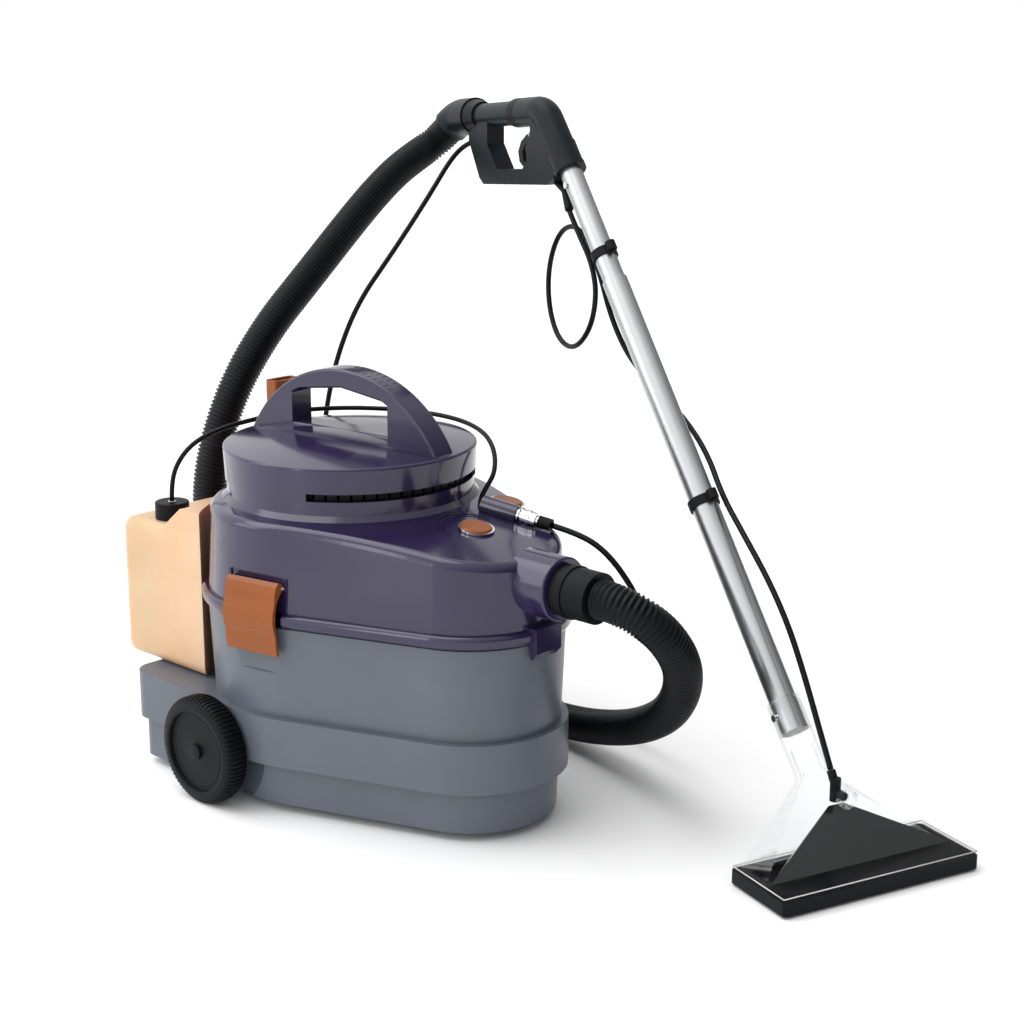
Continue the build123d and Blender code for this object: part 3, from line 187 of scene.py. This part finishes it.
SPRAY = [
    (250.7, 80.0, 336.5), (285.0, 91.0, 330.3), (318.0, 98.0, 314.0), (345.0, 108.0, 280.0),
    (358.0, 128.0, 230.0), (352.0, 170.0, 168.0), (322.0, 218.0, 106.0), (262.0, 264.0, 52.0),
    (186.0, 294.0, 18.0), (100.0, 306.0, 6.5), (8.0, 302.0, 5.0), (-84.0, 306.0, 6.5),
    (-168.0, 298.0, 12.0), (-236.0, 276.0, 36.0), (-280.0, 248.0, 88.0), (-292.0, 222.0, 158.0),
    (-284.0, 200.0, 236.0), (-268.0, 188.0, 316.0), (-254.0, 188.0, 394.0), (-248.0, 206.0, 462.0),
    (-248.0, 244.0, 524.0), (-241.0, 296.0, 580.0), (-232.0, 340.0, 634.0), (-232.0, 374.0, 670.0),
    (-236.0, 400.0, 694.0), (-238.0, 422.0, 711.0), (-230.0, 434.0, 722.0), (-214.8, 434.3, 727.0),
]
BOTTLE = [
    (-214.0, -104.0, 318.0), (-214.0, -104.0, 338.0), (-209.0, -98.0, 366.0), (-196.0, -80.0, 392.0),
    (-179.0, -48.0, 407.0), (-170.0, -4.0, 412.0), (-166.0, 52.0, 415.0), (-126.0, 110.0, 416.0),
    (-60.0, 151.0, 416.0), (14.0, 162.0, 415.0), (82.0, 142.0, 412.0), (126.0, 116.0, 400.0),
    (150.0, 92.0, 380.0), (150.0, 74.0, 362.0), (147.0, 70.0, 352.0), (147.0, 70.0, 342.5),
]
WAND = [
    (-620.0, 657.0, -7.0), (-596.0, 630.0, -7.0), (-568.0, 600.0, -5.0), (-548.0, 562.0, -8.0),
    (-556.0, 516.0, -12.0), (-594.0, 484.0, -14.0), (-640.0, 492.0, -12.0), (-674.0, 532.0, -7.0),
    (-684.0, 582.0, -1.0), (-666.0, 626.0, 4.0), (-628.0, 640.0, 6.0), (-592.0, 618.0, 6.0),
    (-564.0, 582.0, 6.0), (-540.0, 532.0, 8.0), (-508.0, 488.0, 14.0), (-462.0, 454.0, 26.0),
    (-404.0, 428.0, 31.0), (-344.0, 396.0, 26.0), (-294.0, 358.0, 14.0), (-240.0, 322.0, 10.0),
    (-188.0, 284.0, 8.0), (-144.0, 242.0, 6.0), (-108.0, 196.0, 3.0), (-76.0, 150.0, 0.0),
    (-50.0, 106.0, 0.0),
]
suction_line = centre_line([mm(*p) for p in SUCTION])
spray_line = centre_line([mm(*p) for p in SPRAY])
bottle_line = centre_line([mm(*p) for p in BOTTLE])
wand_line = centre_line([mm(*in_wand(*p)) for p in WAND])


RIB = 0.0052
RIB_SHAPE = (0.0196, 0.0219, 0.0221, 0.0202)  # radius through one rib, root to crest
HOSE_R = 0.0034
TUBE_R = 0.0029
ribbed = resample(suction_line, RIB / len(RIB_SHAPE))
suction_hose = tube("suction_hose_ribbed", ribbed, lambda i: RIB_SHAPE[i % len(RIB_SHAPE)], 40)
spray_hose = tube("spray_hose_line", resample(spray_line, 0.006), lambda i: HOSE_R, 14)
bottle_tube = tube("bottle_tube_line", resample(bottle_line, 0.005), lambda i: TUBE_R, 14)
wand_hose = tube("wand_hose_line", resample(wand_line, 0.005), lambda i: HOSE_R, 14)
CORDS = (
    (suction_hose, "suction_hose", suction_line, 0.044),
    (spray_hose, "spray_hose", spray_line, 2 * HOSE_R),
    (bottle_tube, "bottle_tube", bottle_line, 2 * TUBE_R),
    (wand_hose, "wand_hose", wand_line, 2 * HOSE_R),
)
for ob, node, line, across in CORDS:
    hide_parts(node)
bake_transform(suction_hose)
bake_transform(spray_hose)
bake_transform(bottle_tube)
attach(wand_hose, "base")


# ------------------------------------------------------------------ materials
def material(name, colour, rough=0.4, metallic=0.0, vary=0.10, patch=9.0, grain=900.0, bump=0.06,
             coat=0.0, transmission=0.0, alpha=1.0, ior=1.46, subsurface=0.0, tint=None, along=None,
             spec=0.5):
    """A moulded or metal surface: broad uneven tone, uneven gloss and a fine grain in relief."""
    mat = bpy.data.materials.new(name)
    mat.use_nodes = True
    tree = mat.node_tree
    shader = tree.nodes["Principled BSDF"]
    new = tree.nodes.new
    link = tree.links.new
    place = new("ShaderNodeTexCoord")
    mapping = new("ShaderNodeMapping")
    link(place.outputs["Object"], mapping.inputs["Vector"])
    if along is not None:
        mapping.inputs["Rotation"].default_value = along[0]
        mapping.inputs["Scale"].default_value = along[1]
    broad = new("ShaderNodeTexNoise")
    broad.inputs["Scale"].default_value = patch
    broad.inputs["Detail"].default_value = 4.0
    link(place.outputs["Object"], broad.inputs["Vector"])
    fine = new("ShaderNodeTexNoise")
    fine.inputs["Scale"].default_value = grain
    fine.inputs["Detail"].default_value = 3.0
    link(mapping.outputs["Vector"], fine.inputs["Vector"])
    ramp = new("ShaderNodeValToRGB")
    dark = [c * (1 - vary) for c in colour]
    light = list(tint) if tint else [min(1.0, c * (1 + vary)) for c in colour]
    ramp.color_ramp.elements[0].position = 0.32
    ramp.color_ramp.elements[0].color = (*dark, 1)
    ramp.color_ramp.elements[1].position = 0.68
    ramp.color_ramp.elements[1].color = (*light, 1)
    link(broad.outputs["Fac"], ramp.inputs["Fac"])
    link(ramp.outputs["Color"], shader.inputs["Base Color"])
    gloss = new("ShaderNodeMapRange")
    gloss.inputs["To Min"].default_value = max(0.02, rough * 0.82)
    gloss.inputs["To Max"].default_value = min(1.0, rough * 1.22)
    link(fine.outputs["Fac"], gloss.inputs["Value"])
    link(gloss.outputs["Result"], shader.inputs["Roughness"])
    relief = new("ShaderNodeBump")
    relief.inputs["Strength"].default_value = bump
    relief.inputs["Distance"].default_value = 0.0004
    link(fine.outputs["Fac"], relief.inputs["Height"])
    link(relief.outputs["Normal"], shader.inputs["Normal"])
    shader.inputs["Metallic"].default_value = metallic
    shader.inputs["IOR"].default_value = ior
    shader.inputs["Specular IOR Level"].default_value = spec
    shader.inputs["Coat Weight"].default_value = coat
    shader.inputs["Coat Roughness"].default_value = 0.08
    shader.inputs["Transmission Weight"].default_value = transmission
    shader.inputs["Alpha"].default_value = alpha
    shader.inputs["Subsurface Weight"].default_value = subsurface
    shader.inputs["Subsurface Scale"].default_value = 0.02
    return mat


WAND_TILT = ((0.0, LEAN - pi / 2, -HEADING), (1.0, 1.0, 0.02))  # brushed along the tube
M = {
    "grey_plastic": material("grey_plastic", (0.108, 0.122, 0.152), 0.34, vary=0.05, bump=0.08, spec=0.4),
    "aubergine_plastic": material("aubergine_plastic", (0.021, 0.015, 0.054), 0.16, vary=0.08, bump=0.02,
                                  coat=0.35),
    "orange_plastic": material("orange_plastic", (0.26, 0.070, 0.010), 0.30, vary=0.08, bump=0.05, spec=0.35),
    "black_plastic": material("black_plastic", (0.0040, 0.0045, 0.0060), 0.46, vary=0.25, bump=0.10,
                              spec=0.15),
    "dark_plastic": material("dark_plastic", (0.0050, 0.0085, 0.0125), 0.38, vary=0.15, bump=0.08, spec=0.20),
    "amber_plastic": material("amber_plastic", (0.62, 0.37, 0.19), 0.34, vary=0.05, bump=0.04, subsurface=0.6,
                              tint=(0.72, 0.51, 0.34), patch=5.0, spec=0.3),
    "clear_plastic": material("clear_plastic", (0.94, 0.95, 0.96), 0.03, vary=0.02, bump=0.0,
                              transmission=1.0, ior=1.20, alpha=0.30),
    "smoke_plastic": material("smoke_plastic", (0.012, 0.013, 0.014), 0.18, vary=0.15, bump=0.03, coat=0.6),
    "tube_metal": material("tube_metal", (0.48, 0.49, 0.50), 0.30, metallic=1.0, vary=0.04, bump=0.02,
                           grain=300.0, along=WAND_TILT),
    "steel": material("steel", (0.45, 0.45, 0.47), 0.35, metallic=1.0, vary=0.10, bump=0.06),
    "chrome": material("chrome", (0.75, 0.75, 0.76), 0.10, metallic=1.0, vary=0.04, bump=0.02),
    "rubber": material("rubber", (0.0050, 0.0050, 0.0060), 0.60, vary=0.20, bump=0.15, spec=0.2),
    "hose_plastic": material("hose_plastic", (0.0024, 0.0030, 0.0048), 0.34, vary=0.25, bump=0.05, spec=0.18),
    "foam": material("foam", (0.20, 0.20, 0.19), 0.95, vary=0.35, bump=0.9, grain=400.0),
    "white_plastic": material("white_plastic", (0.60, 0.59, 0.56), 0.45, vary=0.06, bump=0.08),
}
slots = {item["node"]: item["material_slot"] for item in frame["record"]["subparts"]}
for name, node in NODES.items():
    mat = M[slots[name]]
    if not node.data.materials:
        node.data.materials.append(mat)
    for k in range(len(node.material_slots)):
        node.material_slots[k].material = mat
for ob in (suction_hose, spray_hose, bottle_tube, wand_hose):
    ob.data.materials.append(M["hose_plastic"])

# ------------------------------------------------------------------ wheels
def lathe(name, origin, axis, start, profile, steps, wave=None):
    """A turned piece: profile is a list of (distance along the axis, radius)."""
    axis = Vector(axis).normalized()
    start = (Vector(start) - axis * Vector(start).dot(axis)).normalized()
    other = axis.cross(start)
    bm = bmesh.new()
    rings = []
    for index, (along, radius) in enumerate(profile):
        ring = []
        for k in range(steps):
            a = 2 * pi * k / steps
            r = radius + (wave(index, k) if wave else 0.0)
            ring.append(bm.verts.new(origin + axis * along + (start * cos(a) + other * sin(a)) * r))
        rings.append(ring)
    for low, high in zip(rings, rings[1:]):
        for k in range(steps):
            bm.faces.new((low[k], low[(k + 1) % steps], high[(k + 1) % steps], high[k]))
    bmesh.ops.remove_doubles(bm, verts=bm.verts, dist=1e-6)
    return finish_mesh(name, bm)


def tread(index, k):
    """How far a point of the tyre's band is cut in: two steps of every five."""
    return -0.0016 if index in (15, 16, 17, 18, 19) and k % 5 in (0, 1) else 0.0


for side, body in ((-1, "right_wheel"), (1, "left_wheel")):
    centre = mm(-45.5, side * 213.5, 65)
    profile = [
        (0.0006, 0.0), (0.0005, 0.0070), (0.0, 0.0090), (-0.004, 0.0095), (-0.004, 0.0130),
        (-0.0042, 0.0140), (-0.0042, 0.0400), (-0.0036, 0.0410), (-0.0036, 0.0425), (-0.0042, 0.0435),
        (-0.0042, 0.0478), (-0.0008, 0.0487), (-0.0002, 0.0500), (-0.0002, 0.0525),
        (-0.0010, 0.0575), (-0.0022, 0.0612), (-0.0042, 0.0634), (-0.0075, 0.0649),
        (-0.0220, 0.0649), (-0.0262, 0.0636), (-0.0292, 0.0600), (-0.0294, 0.0556), (-0.0140, 0.0550),
        (-0.0140, 0.0122), (-0.0294, 0.0120), (-0.0294, 0.0053),
    ]
    profile = [(a * side, r) for a, r in profile]
    wheel = lathe(body + "_treaded", centre, (0, 1, 0), (1, 0, 0), profile, 360, tread)
    edges = wheel.modifiers.new("edges", "EDGE_SPLIT")
    edges.split_angle = radians(28)
    wheel.data.materials.append(M["black_plastic"])
    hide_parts(body)
    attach(wheel, body)

# ------------------------------------------------------------------ small details
def bars(name, lines, radius, slot, body, sides=8):
    """Thin round bars along short lines, joined into one piece."""
    bm = bmesh.new()
    for line in lines:
        side = (line[1] - line[0]).normalized().orthogonal().normalized()
        rings = []
        for i, point in enumerate(line):
            tangent = (line[min(i + 1, len(line) - 1)] - line[max(i - 1, 0)]).normalized()
            side = (side - tangent * side.dot(tangent)).normalized()
            other = tangent.cross(side)
            angles = [2 * pi * k / sides for k in range(sides)]
            rings.append([bm.verts.new(point + (side * cos(a) + other * sin(a)) * radius) for a in angles])
        for low, high in zip(rings, rings[1:]):
            for k in range(sides):
                bm.faces.new((low[k], low[(k + 1) % sides], high[(k + 1) % sides], high[k]))
        bm.faces.new(list(reversed(rings[0])))
        bm.faces.new(rings[-1])
    ob = finish_mesh(name, bm)
    ob.data.materials.append(M[slot])
    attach(ob, body)
    return ob


ARCH_R = 161
ARCH_Z = 337
ARCH_TURN = radians(7)


def on_arch(angle, across, out):
    """A point on the carry handle's upper face, angle degrees forward of its top."""
    t = (ARCH_R + out) * sin(radians(angle))
    z = ARCH_Z + (ARCH_R + out) * cos(radians(angle))
    x = t * cos(ARCH_TURN) - across * sin(ARCH_TURN)
    y = t * sin(ARCH_TURN) + across * cos(ARCH_TURN)
    return mm(x, y, z)


grips = [[on_arch(angle, side * 4, -0.2), on_arch(angle, side * 12.5, -0.2)] for angle in range(2, 33, 3)
         for side in (-1, 1)]
bars("handle_grip_ribs", grips, 0.0007, "aubergine_plastic", "head")


def round_button(radius, ring, start, stop):
    """Part of a circle round the near button, drawn on the head's sloping panel."""
    line = []
    centre = Vector((radius, 0, 0))
    for k in range(41):
        a = radians(start + (stop - start) * k / 40)
        spot = centre + Vector((cos(a), sin(a), 0)) * ring
        line.append(mm(spot.x, spot.y, 350.2 - (spot.length - 150) * tan(radians(10))))
    return line


arcs = [round_button(208, 38, 110, 262), round_button(208, 44, 118, 250)]
bars("panel_lines", arcs, 0.0005, "black_plastic", "head", 6)

# Thin pale bars round the nozzle plate's top outline: a painted highlight for light caught on the clear
# plate's edges, not a part of the plate
plate_highlight_outline = []
for s, w in ((-47, -128), (47, -128), (47, 128), (-47, 128), (-47, -128)):
    plate_highlight_outline.append(mm(*in_wand(s, 22.1, w)))
bars("plate_edges", [[a, b] for a, b in zip(plate_highlight_outline, plate_highlight_outline[1:])], 0.0007, "white_plastic", "base", 6)

# ------------------------------------------------------------------ stage
floor_mesh = bpy.data.meshes.new("floor")
bm = bmesh.new()
bmesh.ops.create_grid(bm, x_segments=1, y_segments=1, size=28.0)
bm.to_mesh(floor_mesh)
bm.free()
floor = bpy.data.objects.new("floor", floor_mesh)
scene.collection.objects.link(floor)
floor.data.materials.append(
    material("floor_pale", (0.94, 0.94, 0.94), 0.60, vary=0.005, bump=0.0, spec=0.0))

# A white room: bright from the left and above, darker to the right
world = bpy.data.worlds.new("studio")
scene.world = world
world.use_nodes = True
tree = world.node_tree
sky = tree.nodes["Background"]
spot = tree.nodes.new("ShaderNodeTexCoord")
facing = tree.nodes.new("ShaderNodeVectorMath")
facing.operation = "DOT_PRODUCT"
facing.inputs[1].default_value = Vector((-0.62, -0.52, 0.58)).normalized()
tree.links.new(spot.outputs["Generated"], facing.inputs[0])
fade = tree.nodes.new("ShaderNodeMapRange")
fade.inputs["From Min"].default_value = -0.55
fade.inputs["From Max"].default_value = 0.75
fade.inputs["To Min"].default_value = 0.08
fade.inputs["To Max"].default_value = 1.38
tree.links.new(facing.outputs["Value"], fade.inputs["Value"])
rays = tree.nodes.new("ShaderNodeLightPath")
choose = tree.nodes.new("ShaderNodeMix")
choose.inputs["B"].default_value = 1.0
tree.links.new(rays.outputs["Is Camera Ray"], choose.inputs["Factor"])
tree.links.new(fade.outputs["Result"], choose.inputs["A"])
tree.links.new(choose.outputs["Result"], sky.inputs["Strength"])
sky.inputs["Color"].default_value = (1.0, 1.0, 1.0, 1)

sun = bpy.data.lights.new("soft_sun", "SUN")
sun.energy = 1.12
sun.angle = radians(50)
sun_ob = bpy.data.objects.new("soft_sun", sun)
scene.collection.objects.link(sun_ob)
sun_ob.rotation_euler = Vector((0.35, 0.22, -0.92)).to_track_quat("-Z", "Y").to_euler()


def soft_light(name, place, aim, size, power, tint=(1, 1, 1)):
    data = bpy.data.lights.new(name, "AREA")
    data.shape = "RECTANGLE"
    data.size, data.size_y = size
    data.energy = power
    data.color = tint
    ob = bpy.data.objects.new(name, data)
    scene.collection.objects.link(ob)
    ob.location = place
    ob.rotation_euler = (Vector(aim) - Vector(place)).to_track_quat("-Z", "Y").to_euler()
    return ob


soft_light("key", (-1.7, -1.9, 1.5), (-0.2, -0.1, 0.3), (1.0, 1.8), 9)
soft_light("strip", (-0.15, -1.75, 0.62), (-0.2, -0.1, 0.35), (0.16, 1.1), 2)
scene.view_settings.view_transform = "Standard"
